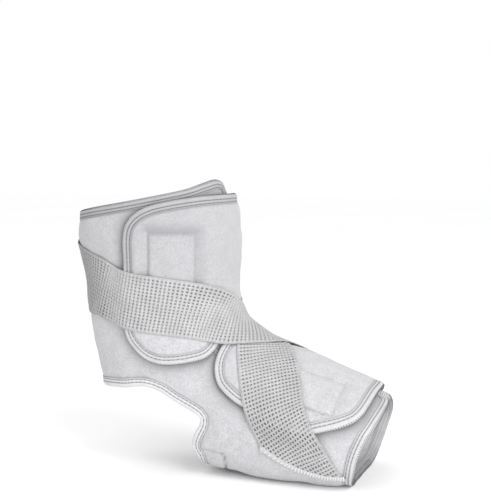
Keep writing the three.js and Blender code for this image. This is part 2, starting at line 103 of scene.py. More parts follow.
# Painted shade: where the cloth is darker, from 0 to 1
SEAM_SHADE = {"sole": 0.7, "collar": 0.5, "middle": 0.35}
EDGE_SHADE = {"shade": 0.55, "width": 0.8}
COVERED_SHADE = {"shade": 0.75, "from": 0.8, "fade": 2}
HOLLOW = {"shade": 0.55, "swell": 3, "up": 1.0, "front": 0.45}
FLAP_SHADOW = {"soft": 0.85, "reach": 6.5, "core": 0.4, "core_reach": 2.2}
FLAP_SHADE = {"shade": 0.44, "from": 40, "fade": 45}
WRAP_SHADE = 0.5
TAPE_SHADE = {"groove": 0.55, "edge": 0.4, "width": 0.35, "inside": 0.5}
CUFF_SHADE = {"shade": 0.5, "from": 45, "fade": 60}
BACK_SHADE = {"shade": 0.45, "angle": 12, "spread": 1.9, "to_station": 6}

# Webbing: the pitch of its ribs along it and of its warps across it, and the yarns
RIB_PITCH = 2.48
RIB_STEPS = 4
RIB_INSET = 0.2
WARP_COUNT = 17
WARP_INSET = 1.3
WARP_PITCH = (WEBBING_WIDTH - 2 * WARP_INSET) / (WARP_COUNT - 1)
SELVEDGE = {"inset": 0.25, "share": 0.6}
YARN_SIDES = 6
# The yarns' shades are painted shade: a little on the warps, which lie lower, and DIP_SHADE more
# where a yarn dips under a crossing one
WARP_YARN = {"width": (1.25, 1.62), "height": 0.66, "wave": 0.1, "offset": 0.02, "shade": 0.06}
RIB_YARN = {"width": (1.55, 1.95), "height": 0.75, "wave": 0.1, "offset": 0.12, "shade": 0}
DIP_SHADE = 0.1
OPEN_WEAVE = (30, 100)
YARN_CLEARANCE = 0.64
STRAP_STEPS = 240
LOOK_AHEAD = 0.2
CUT_TRIES = 20
CUT_LANES = 41
BACK_SPREAD = {"angle": (285, 425), "fade": (45, 60), "share": 0.45}
STRAP_END_INSET = 1.2

# How a strap lies over what is under it, in steps along and across it
DRAPE = {"step": 1.0, "over": 1, "spread": (5, 2), "blur": (5.0, 1.6), "bridge_blur": (4.0, 2.0)}
BRIDGE = {"reach": (10, 16, 22), "share": 0.55, "most": 3.0}
FLAP_LEAST = 0.5
UNDER_STRAP = 0.5

# The rolled hem at a strap's sewn end, the roll at its far end, and the stitches over the hem
HEM_BOW = 2.6
HEM = {"over": 0.8, "along": 0.6, "lift": 0.1, "width": 3.8, "height": 1.8, "shade": 0.3}
END_ROLL = {"inset": 0.6, "width": 3.6, "height": 2.4, "shade": 0.1}
ROLL_STEPS = 60
ROLL_SIDES = 12
HEM_STITCH = {"pitch": 1.35, "across": 1.3, "along": 2.1, "width": 0.9, "height": 0.6, "steps": 9,
              "arch": 1.05}

# Stitches and the threads over the edge of a tape
STITCH_PITCH = 3.0
STITCH_LENGTH = 2.3
STITCH_TAPER = np.array([0.25, 0.85, 1.0, 0.85, 0.25])
STITCH_RISE = {"arch": 1.6, "sink": 1.1}
THREAD_RADIUS = 0.27
EDGE_THREAD = {"pitch": 1.6, "radius": 0.22, "lift": 0.05, "lean": 0.9, "steps": 7, "sides": 4}

# Sections of the form, as shares of the length, height and width, with how square the sole is:
# back x, back z, front x, front z, half width, flat
SECTIONS = np.array([
    [-0.272, 0.621, 0.204, 0.728, 0.434, 0],
    [-0.274, 0.528, 0.211, 0.621, 0.429, 0],
    [-0.253, 0.410, 0.216, 0.513, 0.418, 0],
    [-0.235, 0.292, 0.213, 0.408, 0.408, 0],
    [-0.223, 0.169, 0.214, 0.316, 0.393, 0],
    [-0.198, 0.021, 0.243, 0.251, 0.393, 0],
    [-0.209, -0.133, 0.294, 0.206, 0.388, 0.03],
    [-0.130, -0.221, 0.349, 0.171, 0.388, 0.06],
    [-0.019, -0.226, 0.415, 0.145, 0.398, 0.06],
    [0.102, -0.226, 0.483, 0.121, 0.418, 0.06],
    [0.242, -0.241, 0.553, 0.089, 0.459, 0.07],
    [0.428, -0.259, 0.633, 0.054, 0.495, 0.08],
    [0.647, -0.257, 0.716, 0.024, 0.500, 0.08],
])
LAST_STATION = len(SECTIONS) - 1
STATION_MARGIN = 0.6

# Outlines as spans of [station, angle], each with its number of columns before refining
WRAP_EDGE = [
    (20, [[0.16, -148], [0.12, -130], [0.07, -90], [0.02, -45], [-0.03, 0], [-0.02, 45], [0.04, 90],
          [0.03, 130], [-0.07, 150]]),
    (20, [[-0.1, 167], [0.16, 178], [1, 179], [2, 174], [3, 165], [4, 152], [5, 143], [6, 141],
          [7, 146], [8, 153], [9, 161], [10, 168], [11, 175], [11.7, 179]]),
    (24, [[12.12, 172], [12.17, 150], [12.09, 124], [12.02, 109], [11.96, 83], [11.97, 56],
          [11.97, 28], [11.97, 0], [11.97, -28], [11.97, -56], [11.97, -83], [11.97, -109],
          [11.92, -132]]),
    (18, [[11.8, -147], [11.3, -154], [10, -156], [9, -153], [8, -148], [7, -142], [6, -136],
          [5, -134], [4, -138], [3, -146], [2, -152], [1, -155], [0.4, -154]]),
]
HEEL_EDGE = [
    (20, [[5.35, -64], [5.15, -45], [5.03, -22], [5.0, 0], [5.03, 22], [5.15, 45]]),
    (20, [[5.35, 64], [5.6, 81], [6.0, 90], [6.55, 93], [7.2, 93], [7.8, 89], [8.11, 83],
          [8.33, 74], [8.53, 66]]),
    (24, [[8.8, 57], [9.12, 47], [9.37, 28], [9.45, 0], [9.37, -28], [9.12, -47]]),
    (18, [[8.8, -57], [8.53, -66], [8.33, -74], [8.11, -83], [7.8, -89], [7.2, -93],
          [6.55, -93], [6.0, -90], [5.6, -81]]),
]
LEG_FLAP_EDGE = [
    (8, [[0.75, 88.5], [1.1, 85.5], [1.6, 83.5], [2.3, 81.5], [3.0, 79.5], [3.7, 78], [4.15, 79]]),
    (20, [[4.5, 82.5], [4.86, 88.5], [5.17, 97], [5.42, 107], [5.64, 117], [5.79, 126],
          [5.7, 134], [5.36, 144], [4.95, 155], [4.65, 168], [4.5, 182], [4.42, 205],
          [4.35, 230], [4.2, 252]]),
    (8, [[3.95, 262], [3.4, 266], [2.6, 267], [1.8, 267], [1.0, 266]]),
    (20, [[0.55, 262], [0.38, 248], [0.35, 225], [0.37, 200], [0.38, 180], [0.35, 160],
          [0.3, 140], [0.28, 120], [0.32, 105], [0.47, 95]]),
]
FOOT_FLAP_EDGE = [
    (14, [[6.75, 122], [7.35, 115.5], [8.05, 109.5], [8.75, 105], [9.5, 101], [10.2, 99],
          [10.75, 100.5]]),
    (14, [[11.05, 106], [11.4, 114.5], [11.62, 123], [11.72, 134], [11.73, 148], [11.7, 165],
          [11.68, 182], [11.62, 205], [11.54, 230], [11.35, 251]]),
    (14, [[11.0, 262], [10.2, 266], [9.2, 267], [8.2, 267], [7.2, 267], [6.4, 266]]),
    (14, [[5.9, 261], [5.65, 248], [5.5, 228], [5.35, 205], [5.25, 185], [5.32, 168],
          [5.5, 153], [5.8, 140], [6.22, 130]]),
]

# Corners of the rectangle stitched on each flap, and the seams at the rear of the sole
LEG_PATCH = {"rows": [[1.18, 102.5], [1.42, 134.5], [3.95, 132], [3.5, 96]], "depth": 0.4,
             "width": 0.8}
FOOT_PATCH = {"rows": [[8.45, 149], [10.70, 156], [11.08, 121], [9.15, 120]], "depth": 0.3,
              "width": 0.8}
SOLE_SEAMS = [
    {"rows": [[8.7, 58], [9.03, 58.5], [9.17, 59], [9.37, 59.5], [9.58, 59.5]], "depth": 0.6,
     "width": 0.6},
    {"rows": [[9.58, 59.5], [9.69, 56], [9.8, 50], [9.9, 40], [9.95, 20], [9.95, 0]],
     "depth": 1.5, "width": 0.8},
]

# Centre lines of the straps, which start alike; the ankle strap's is mirrored to the inner side
ROUTE_START = [[11.6, 36.7], [11.4, 53.6], [11.17, 67.7], [10.82, 82.2], [10.1, 100.6], [8.99, 124]]
FOOT_STRAP_ROUTE = ROUTE_START + [
    [8.18, 140], [7.3, 157], [6.32, 178], [5.51, 198], [4.85, 215], [4.3, 235], [3.8, 256],
    [3.5, 276],
]
ANKLE_STRAP_ROUTE = ROUTE_START + [
    [8.1, 140], [6.99, 157], [5.83, 178], [4.84, 198], [4.18, 215], [3.72, 235], [3.35, 256],
    [3.12, 270], [2.9, 283], [2.65, 296], [2.3, 311], [1.93, 335], [1.7, 365], [1.6, 400],
    [1.6, 440],
]
FOOT_STRAP_END = 254
ANKLE_STRAP_END = 428

# The line on which the straps are sewn to the sole, and how fast they fade past it
STRAP_CUT = {"station": (10.2, 11.73), "angle": (76.6, 58.5), "slope": 1.2, "margin": 1}


# Curves through rows of numbers

def cubic(p0, p1, p2, p3, share):
    return 0.5 * (2 * p1 + (p2 - p0) * share + (2 * p0 - 5 * p1 + 4 * p2 - p3) * share ** 2
                  + (3 * p1 - p0 - 3 * p2 + p3) * share ** 3)


def along_rows(rows, place):
    rows = np.asarray(rows, float)
    place = np.asarray(place, float)
    last = len(rows) - 1
    longer = np.vstack([2 * rows[0] - rows[1], rows, 2 * rows[-1] - rows[-2]])
    index = np.clip(np.floor(place).astype(int), 0, last - 1)
    share = (place - index)[..., None]
    return cubic(longer[index], longer[index + 1], longer[index + 2], longer[index + 3], share)


def along_closed_rows(rows, place):
    rows = np.asarray(rows, float)
    index = np.floor(place).astype(int)
    share = (place - index)[..., None]
    corners = [rows[(index + k) % len(rows)] for k in (-1, 0, 1, 2)]
    return cubic(*corners, share)


def smooth(share):
    share = np.clip(share, 0, 1)
    return share * share * (3 - 2 * share)


def unit(vectors):
    return vectors / np.maximum(np.linalg.norm(vectors, axis=-1, keepdims=True), 1e-9)

def travelled_along(points):
    steps = np.linalg.norm(np.diff(points, axis=0), axis=1)
    return np.concatenate([[0], np.cumsum(steps)])


# Rows between the given ones, each of which stands at a known place
def between_rows(place, known, rows):
    return np.stack([np.interp(place, known, column) for column in rows.T], -1)


# The form

def form_points(places):
    station = np.clip(places[..., 0], -STATION_MARGIN, LAST_STATION + STATION_MARGIN)
    values = np.moveaxis(along_rows(SECTIONS, station), -1, 0)
    back_x, back_z, front_x, front_z, half_width, flat = values
    turn = np.radians(places[..., 1])
    squared = flat * (1 + np.cos(turn)) / 2
    along = (np.cos(turn) - squared * np.cos(3 * turn)) / (1 - squared)
    across = (np.sin(turn) + squared * np.sin(3 * turn)) / (1 - flat / 2)
    x = ((back_x + front_x) / 2 - (front_x - back_x) / 2 * along) * SPLINT_LENGTH
    z = ((back_z + front_z) / 2 - (front_z - back_z) / 2 * along) * SPLINT_HEIGHT
    return np.stack([x, -half_width * SPLINT_WIDTH * across, z], -1)


def slopes(places):
    station_step = 0.02
    angle_step = 0.5
    low, high = places.copy(), places.copy()
    low[..., 0] = np.maximum(places[..., 0] - station_step, -STATION_MARGIN)
    high[..., 0] = np.minimum(places[..., 0] + station_step, LAST_STATION + STATION_MARGIN)
    span = (high[..., 0] - low[..., 0])[..., None]
    per_station = (form_points(high) - form_points(low)) / span
    turn = np.array([0, angle_step])
    per_degree = (form_points(places + turn) - form_points(places - turn)) / (2 * angle_step)
    return per_station, per_degree


def form_normals(places):
    per_station, per_degree = slopes(places)
    return unit(np.cross(per_station, per_degree))


# Points at a height over the form, with the underside of the sole flat on one level
def skin_points(places, heights):
    heights = np.broadcast_to(heights, places.shape[:-1])
    points = form_points(places) + form_normals(places) * heights[..., None]
    points[..., 2] = np.maximum(points[..., 2], SOLE_LEVEL - np.minimum(heights, 0))
    return points


def step_over(places, directions, distance):
    per_station, per_degree = slopes(places)
    a = (per_station * per_station).sum(-1)
    b = (per_station * per_degree).sum(-1)
    c = (per_degree * per_degree).sum(-1)
    along = (per_station * directions).sum(-1) * distance
    around = (per_degree * directions).sum(-1) * distance
    spread = a * c - b * b
    step = np.stack([(along * c - around * b) / spread, (around * a - along * b) / spread], -1)
    return places + step


# Outlines

def even_places(place_at, start, stop, count, closed=True):
    samples = np.linspace(start, stop, 24 * count + 1)
    travelled = travelled_along(form_points(place_at(samples)))
    shares = np.arange(count) / count if closed else np.linspace(0, 1, count)
    return place_at(np.interp(shares * travelled[-1], travelled, samples))


def outline(spans, density):
    rows = [row for _, span in spans for row in span]
    first = 0
    places = []
    for columns, span in spans:
        last = first + len(span)
        count = columns * density
        places.append(even_places(lambda s: along_closed_rows(rows, s), first, last, count))
        first = last
    return np.vstack(places)


class Loop:
    """An outline on the form, with the direction along the form to the inside of its sheet."""

    def __init__(self, spans, density, side):
        self.places = outline(spans, density)
        points = form_points(self.places)
        along = np.roll(points, -density, 0) - np.roll(points, density, 0)
        self.inward = unit(np.cross(form_normals(self.places), along)) * side
        self.travelled = travelled_along(np.vstack([points, points[:1]]))
        self.length = self.travelled[-1]
        self.middle = self.places[:, 1].mean()
        self.tree = point_tree(points)

    def inset(self, distance):
        places = self.places
        steps = max(1, math.ceil(abs(distance) / 2))
        for _ in range(steps):
            places = step_over(places, self.inward, distance / steps)
        return places

    # The same places, with their angles less than half a turn from the outline's middle
    def near(self, places):
        turns = np.round((places[..., 1] - self.middle) / 360)
        return np.stack([places[..., 0], places[..., 1] - 360 * turns], -1)

    def holds(self, places):
        return inside(self.places, self.near(places))

    def distance(self, points):
        return tree_distance(self.tree, points)


def point_tree(points):
    tree = KDTree(len(points))
    for index, point in enumerate(points):
        tree.insert(point, index)
    tree.balance()
    return tree


def tree_distance(tree, points):
    flat = points.reshape(-1, 3)
    found = np.fromiter((tree.find(point)[2] for point in flat), float, len(flat))
    return found.reshape(points.shape[:-1])


def inside(loop, places):
    station, angle = places[..., 0].ravel(), places[..., 1].ravel()
    result = np.zeros(station.shape, bool)
    for (s1, a1), (s0, a0) in zip(loop, np.roll(loop, 1, 0)):
        if s1 == s0:
            continue
        crosses = (s1 > station) != (s0 > station)
        result ^= crosses & (angle < a1 + (a0 - a1) * (station - s1) / (s0 - s1))
    return result.reshape(places.shape[:-1])


# Soft unevenness: a sum of slow waves in fixed, seeded directions

class Waves:
    def __init__(self, seed, wavelength, count=14):
        random = np.random.default_rng(seed)
        lengths = wavelength * random.uniform(0.7, 1.6, count)
        self.vectors = unit(random.normal(size=(count, 3))) * (2 * np.pi / lengths)[:, None]
        self.phases = random.uniform(0, 2 * np.pi, count)

    def at(self, points):
        angles = points @ self.vectors.T + self.phases
        return np.sin(angles).sum(-1) / math.sqrt(len(self.phases) / 2)


# Seams: a polyline on the form and the groove that it pulls into the padding

class Seam:
    def __init__(self, rows, depth, width, closed=False):
        self.rows = np.asarray(rows, float)
        known = np.arange(len(rows) + closed)
        samples = np.linspace(0, known[-1], 60 * known[-1] + 1)
        self.places = between_rows(samples, known, self.rows[known % len(rows)])
        self.tree = point_tree(form_points(self.places))
        self.depth = depth
        self.width = width

    def distance(self, points):
        return tree_distance(self.tree, points)

    def groove(self, points):
        return self.depth * np.exp(-(self.distance(points) / self.width) ** 2)


def round_rise(distance, reach):
    share = np.clip(distance / reach, 0, 1)
    return np.sqrt(1 - (1 - share) ** 2)


# Webbing straps on the form

class Strap:
    def __init__(self, rows, end, side):
        rows = np.asarray(rows, float)
        last = np.interp(end, rows[:, 1], np.arange(len(rows)))
        self.side = side
        self.half = WEBBING_WIDTH / 2
        self.centre = even_places(lambda s: along_rows(rows, s), 0, last, STRAP_STEPS + 1,
                                  closed=False)
        self.length = travelled_along(form_points(self.centre))[-1]
        self.spacing = self.length / STRAP_STEPS
        self.cut_lanes = np.linspace(-self.half, self.half, CUT_LANES)
        self.cuts = self.find_cuts(self.cut_lanes)
        kept = self.centre[int(self.cuts.mean() / self.spacing):-int(self.half / self.spacing)]
        self.tree = point_tree(form_points(self.turned(kept)))

    def turned(self, places):
        return places * np.array([1, self.side])

    # The places at distances along and across the strap, before it is turned to its own side
    def straight_places(self, along, across):
        index = along / self.spacing
        places = along_rows(self.centre, index)
        rise, fall = BACK_SPREAD["fade"]
        start, stop = BACK_SPREAD["angle"]
        window = smooth((places[..., 1] - start) / rise) * smooth((stop - places[..., 1]) / fall)
        across = np.where(across > 0, across * (1 + BACK_SPREAD["share"] * window), across)
        ahead = form_points(along_rows(self.centre, index + LOOK_AHEAD))
        directions = unit(np.cross(ahead - form_points(places), form_normals(places)))
        steps = 4
        for _ in range(steps):
            normals = form_normals(places)
            directions = unit(directions - normals * (normals * directions).sum(-1, keepdims=True))
            places = step_over(places, directions, across / steps)
        return places

    def places(self, along, across):
        return self.turned(self.straight_places(along, across))

    # How many degrees past the line of the sewn end a place is
    def past_cut(self, places):
        (s0, s1), (a0, a1) = STRAP_CUT["station"], STRAP_CUT["angle"]
        return places[..., 1] - a0 - (a1 - a0) * (places[..., 0] - s0) / (s1 - s0)

    def find_cuts(self, lanes):
        low = np.zeros(len(lanes))
        high = np.full(len(lanes), 2.0 * WEBBING_WIDTH)
        for _ in range(CUT_TRIES):
            middle = (low + high) / 2
            past = self.past_cut(self.straight_places(middle, lanes)) > 0
            high = np.where(past, middle, high)
            low = np.where(past, low, middle)
        return low

    def cut(self, across):
        bow = HEM_BOW * np.clip(1 - (across / self.half) ** 2, 0, 1)
        return np.interp(across, self.cut_lanes, self.cuts) - bow

    # The distance along the strap at which its rounded far end stops
    def end_limit(self, across):
        radius = self.half - STRAP_END_INSET
        return self.length - self.half + np.sqrt(np.clip(radius ** 2 - across ** 2, 0, None))

    # How far out of the strap's edge a point of the form lies. Under the strap it is below 0,
    # but never by more than the cut's slope times its margin
    def outside(self, points, places):
        near_cut = places[..., 0] > STRAP_CUT["station"][0] - 1
        beyond = np.where(near_cut, np.maximum(-self.past_cut(self.turned(places)), 0), 0)
        past_edge = tree_distance(self.tree, points) - self.half
        return np.maximum(past_edge, STRAP_CUT["slope"] * (beyond - STRAP_CUT["margin"]))


# Meshes

class Piece:
    """Points, faces and a shade for each point, which become one mesh."""

    def __init__(self):
        self.points, self.shades, self.quads, self.quad_uvs, self.others = [], [], [], [], []
        self.count = 0

    def add_points(self, points, shade=0.0):
        flat = np.asarray(points, float).reshape(-1, 3)
        first = self.count
        self.points.append(flat)
        self.shades.append(np.broadcast_to(np.asarray(shade, float).reshape(-1), (len(flat),)))
        self.count += len(flat)
        return first + np.arange(len(flat)).reshape(np.asarray(points).shape[:-1])

    def add_quads(self, quads, uvs=None):
        quads = np.asarray(quads).reshape(-1, 4)
        self.quads.append(quads)
        self.quad_uvs.append(np.zeros((len(quads), 4, 2)) if uvs is None else uvs.reshape(-1, 4, 2))

    # Joins two equal rows of points that each close on themselves
    def add_band(self, row, following):
        ahead, ahead_following = np.roll(row, -1, -1), np.roll(following, -1, -1)
        self.add_quads(np.stack([row, ahead, ahead_following, following], -1))

    def make(self, name, material, node_slot, node=None):
        points = np.vstack(self.points)
        quads = np.vstack(self.quads)
        uvs = np.vstack(self.quad_uvs)
        corner = points[quads]
        volume = (corner[:, 0] * np.cross(corner[:, 1], corner[:, 2])).sum()
        volume += (corner[:, 0] * np.cross(corner[:, 2], corner[:, 3])).sum()
        if volume < 0:
            quads = quads[:, ::-1]
            uvs = uvs[:, ::-1]
            self.others = [face[::-1] for face in self.others]
        mesh = bpy.data.meshes.new(name)
        mesh.from_pydata((points * METRES).tolist(), [], quads.tolist() + self.others)
        mesh.polygons.foreach_set("use_smooth", np.ones(len(mesh.polygons), bool))
        shade = mesh.attributes.new("shade", "FLOAT", "POINT")
        shade.data.foreach_set("value", np.concatenate(self.shades).astype(np.float32))
        layer = mesh.uv_layers.new(name="cloth")
        flat = np.zeros((len(mesh.loops), 2), np.float32)
        flat[:len(quads) * 4] = uvs.reshape(-1, 2)
        layer.data.foreach_set("uv", flat.ravel())
        mesh.materials.append(material)
        mesh.update()
        thing = bpy.data.objects.new(name, mesh)
        bpy.context.scene.collection.objects.link(thing)
        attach(thing, "root")
        if node:
            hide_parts(node)
        return thing


# A surface that closes both along its rings and from its last ring to its first
def ring_piece(rings, shades, along, across):
    piece = Piece()
    index = piece.add_points(rings, shades)
    ahead = np.roll(index, -1, 1)
    quads = np.stack([index, ahead, np.roll(ahead, -1, 0), np.roll(index, -1, 0)], -1)
    uvs = np.empty((*quads.shape, 2))
    uvs[..., [0, 3], 0] = along[None, :-1, None]
    uvs[..., [1, 2], 0] = along[None, 1:, None]
    uvs[..., [0, 1], 1] = across[:-1, None, None]
    uvs[..., [2, 3], 1] = across[1:, None, None]
    piece.add_quads(quads, uvs)
    return piece


def add_tube(piece, points, normals, width, height, sides, shade=0.0, taper=1.0):
    tangents = unit(np.gradient(points, axis=0))
    across = unit(np.cross(tangents, normals))
    up = unit(np.cross(across, tangents))
    turn = 2 * np.pi * np.arange(sides) / sides
    taper = np.broadcast_to(taper, (len(points),))[:, None, None]
    rings = (points[:, None]
             + across[:, None] * (np.cos(turn)[None, :, None] * width / 2 * taper)
             + up[:, None] * (np.sin(turn)[None, :, None] * height / 2 * taper))
    shades = np.broadcast_to(np.asarray(shade, float), (len(points),))
    index = piece.add_points(rings, np.repeat(shades, sides))
    piece.add_band(index[:-1], index[1:])
    piece.others.append(index[0][::-1].tolist())
    piece.others.append(index[-1].tolist())


# Heights over the form

# How much the straps press a point down, and how much the padding bulges beside them
def strap_pressure(places, points):
    outside = outside_straps(places, points)
    pressed = smooth((-STRAP_PRESS["from"] - outside) / STRAP_PRESS["fade"])
    bulge = np.exp(-((outside - STRAP_BULGE["centre"]) / STRAP_BULGE["width"]) ** 2)
    return pressed, bulge


def outside_straps(places, points):
    return np.minimum(foot_strap.outside(points, places), ankle_strap.outside(points, places))


# How far the padding has risen at a distance from its sheet's edge, from 0 to 1
def padding_rise(edge):
    return round_rise(edge - TAPE_REACH + PAD_UNDER_TAPE, PAD_REACH)


# A padded face with its soft unevenness, bulged beside the straps and pressed down under them
def settled(height, pad, places, points, sheet):
    pressed, bulge = strap_pressure(places, points)
    waves = sheet["slow"] * slow_waves.at(points) + sheet["quick"] * quick_waves.at(points)
    height = height + (waves + sheet["bulge"] * bulge) * pad
    return height * (1 - pressed) + (sheet["top"] - sheet["pressed"]) * pressed


def flap_cover(places, points):
    cover = np.zeros(points.shape[:-1])
    for flap in (leg_flap, foot_flap):
        distance = flap.loop.distance(points)
        signed = np.where(flap.loop.holds(places), distance, -distance)
        cover = np.maximum(cover, smooth(signed / FLAP_COVER["fade"] + 1))
    return cover


def wrap_edge_distance(points):
    return np.minimum(wrap_loop.distance(points), heel_loop.distance(points))


def wrap_height(places):
    points = form_points(places)
    pad = padding_rise(wrap_edge_distance(points))
    height = -SEAM_DEPTH + (SEAM_DEPTH + WRAP_SWELL) * pad
    mirrored = points * np.array([1, -1, 1])
    for seam in sole_seams:
        height -= np.maximum(seam.groove(points), seam.groove(mirrored)) * pad
    height = settled(height, pad, places, points, WRAP_SHEET)
    cover = flap_cover(places, points)
    return height * (1 - cover) + np.minimum(height, FLAP_COVER["top"]) * cover


def sole_pad(places):
    station, angle = places[..., 0], places[..., 1]
    ends = smooth((station - SOLE_PAD["from"]) / SOLE_PAD["end_fade"])
    ends = ends * smooth((SOLE_PAD["to"] - station) / SOLE_PAD["end_fade"])
    return ends * smooth((SOLE_PAD["side"] - np.abs(angle)) / SOLE_PAD["side_fade"])


def wrap_lining_height(places):
    points = form_points(places)
    pad = padding_rise(wrap_edge_distance(points))
    full = -WRAP_THICKNESS - (SOLE_THICKNESS - WRAP_THICKNESS) * sole_pad(places)
    swell = LINING["slow"] * slow_waves.at(points) - LINING["swell"]
    return full + SEAM_DEPTH * (1 - pad) + swell * pad


class Flap:
    """A padded flap with a rectangle stitched on it."""

    def __init__(self, name, edge, patch, padding):
        self.name = name
        self.edge = edge
        self.padding = padding
        self.loop = Loop(edge, TAPE_DENSITY[name], 1)
        self.patch = Seam(**patch, closed=True)

    def height(self, places):
        points = form_points(places)
        pad = padding_rise(self.loop.distance(points))
        from_patch = self.patch.distance(points)
        seam = self.padding["seam"]
        around = smooth(from_patch / self.padding["reach"])
        outer = seam + (self.padding["swell"] - seam) * around
        inner = seam + (self.padding["patch"] - seam) * round_rise(from_patch, PATCH_RISE)
        swell = np.where(inside(self.patch.rows, places), inner, outer)
        height = FLAP_TOP - SEAM_DEPTH + (SEAM_DEPTH + swell) * pad - self.patch.groove(points)
        return settled(height, pad, places, points, FLAP_SHEET)


# Outlines, flaps, straps and seams of the splint

TAPE_DENSITY = {"wrap": 8, "heel": 5, "leg_flap": 10, "foot_flap": 8}
SHEET_DENSITY = {"wrap": 7, "leg_flap": 9, "foot_flap": 8}

wrap_loop = Loop(WRAP_EDGE, TAPE_DENSITY["wrap"], -1)
heel_loop = Loop(HEEL_EDGE, TAPE_DENSITY["heel"], 1)
leg_flap = Flap("leg_flap", LEG_FLAP_EDGE, LEG_PATCH, LEG_PADDING)
foot_flap = Flap("foot_flap", FOOT_FLAP_EDGE, FOOT_PATCH, FOOT_PADDING)
foot_strap = Strap(FOOT_STRAP_ROUTE, FOOT_STRAP_END, 1)
ankle_strap = Strap(ANKLE_STRAP_ROUTE, ANKLE_STRAP_END, -1)
sole_seams = [Seam(**seam) for seam in SOLE_SEAMS]
slow_waves = Waves(seed=3, wavelength=46)
quick_waves = Waves(seed=8, wavelength=15)


# Materials

class Surface:
    """A new material and the nodes behind its shader."""

    def __init__(self, name):
        self.material = bpy.data.materials.new(name)
        self.material.use_nodes = True
        self.tree = self.material.node_tree
        self.shader = self.tree.nodes["Principled BSDF"]
        self.place = self.node("TexCoord", "Object", {})

    def node(self, kind, output, values, **settings):
        node = self.tree.nodes.new("ShaderNode" + kind)
        for name, setting in settings.items():
            setattr(node, name, setting)
        self.feed(node, values)
        return node.outputs[output]

    # Each value is the output of another node, a colour or a number
    def feed(self, node, values):
        for name, value in values.items():
            if isinstance(value, bpy.types.NodeSocket):
                self.tree.links.new(value, node.inputs[name])
            elif isinstance(value, tuple):
                node.inputs[name].default_value = (*value, 1)
            else:
                node.inputs[name].default_value = value

    def noise(self, scale, detail, roughness=0.6):
        return self.node("TexNoise", "Fac", {"Vector": self.place, "Scale": scale,
                                             "Detail": detail, "Roughness": roughness})

    def ramp(self, source, low, high, low_color, high_color):
        color = self.node("ValToRGB", "Color", {"Fac": source})
        first, second = color.node.color_ramp.elements
        first.position, second.position = low, high
        first.color, second.color = (*low_color, 1), (*high_color, 1)
        return color

    def mix(self, factor, first, second, blend="MIX"):
        values = {0: factor, 6: first, 7: second}
        return self.node("Mix", 2, values, data_type="RGBA", blend_type=blend)

    def calculate(self, operation, first, second=0.0):
        return self.node("Math", 0, {0: first, 1: second}, operation=operation)

    def bump(self, height, distance, strength, under=None):
        values = {"Height": height, "Distance": distance, "Strength": strength}
        if under is not None:
            values["Normal"] = under
        return self.node("Bump", "Normal", values)

    # A colour in soft clouds of two tones
    def clouded(self, noise, light, dark):
        return self.ramp(noise, 0.3, 0.7, dark, light)

    # The colour, dimmed where a fine texture is low
    def dimmed(self, color, texture, low, high, grey):
        tones = self.ramp(texture, low, high, (grey, grey, grey), (1, 1, 1))
        return self.mix(1.0, color, tones, "MULTIPLY")

    # The shader's inputs, with the colour turning to the deep one where the mesh has shade
    def finish(self, color, deep, normal, values):
        shade = self.node("Attribute", "Fac", {}, attribute_name="shade")
        color = self.mix(shade, color, deep)
        self.feed(self.shader, {"Base Color": color, "Normal": normal, **values})
        return self.material


# Brushed fleece: a fine nap, flecks and soft clouds, and a deep colour for its painted shade, as in
# its seams
def fleece_material(name, light, dark):
    surface = Surface(name)
    clouds = surface.noise(140, 5, 0.7)
    nap = surface.noise(900, 5, 0.75)
    fibres = surface.noise(2600, 3, 0.8)
    flecks = surface.calculate("ADD", surface.calculate("MULTIPLY", nap, 0.65),
                               surface.calculate("MULTIPLY", fibres, 0.35))
    color = surface.dimmed(surface.clouded(clouds, light, dark), flecks, 0.36, 0.62, 0.62)
    deep = tuple(0.55 * value for value in dark)
    normal = surface.bump(nap, 0.0007, 0.75)
    normal = surface.bump(fibres, 0.0003, 0.6, normal)
    return surface.finish(color, deep, normal, {
        "Roughness": 0.95, "Specular IOR Level": 0.15, "Sheen Weight": 0.35,
        "Sheen Roughness": 0.6})


# Woven edge tape: fine ribs across it, cords along it, a slight sheen and a deep colour for its
# painted shade
def tape_material(name, light, dark):
    surface = Surface(name)
    split = surface.node("SeparateXYZ", 0, {0: surface.node("TexCoord", "UV", {})}).node
    waves = []
    for axis, pitch in (("X", RIB_OF_TAPE), ("Y", CORD_OF_TAPE)):
        turn = surface.calculate("MULTIPLY", split.outputs[axis], 2 * math.pi / pitch)
        waves.append(surface.calculate("SINE", turn))
    weave = surface.calculate("MULTIPLY", surface.calculate("ADD", *waves), 0.25)
    weave = surface.calculate("ADD", weave, 0.5)
    fuzz = surface.noise(1800, 4, 0.7)
    color = surface.clouded(surface.noise(120, 2), light, dark)
    color = surface.dimmed(color, weave, 0.1, 0.8, 0.74)
    color = surface.dimmed(color, fuzz, 0.3, 0.65, 0.86)
    deep = tuple(0.4 * value for value in dark)
    normal = surface.bump(weave, 0.0002, 0.8)
    normal = surface.bump(fuzz, 0.0002, 0.5, normal)
    return surface.finish(color, deep, normal, {
        "Roughness": 0.85, "Specular IOR Level": 0.25, "Sheen Weight": 0.2})


# Spun yarn: fine filaments, and a dark root colour for the shade painted where the webbing's yarns
# dip under one another
def yarn_material(name, light, dark, root):
    surface = Surface(name)
    filaments = surface.noise(3200, 3, 0.7)
    color = surface.clouded(surface.noise(90, 2), light, dark)
    color = surface.dimmed(color, filaments, 0.3, 0.65, 0.82)
    return surface.finish(color, root, surface.bump(filaments, 0.0002, 0.7), {
        "Roughness": 0.7, "Specular IOR Level": 0.3, "Sheen Weight": 0.15})


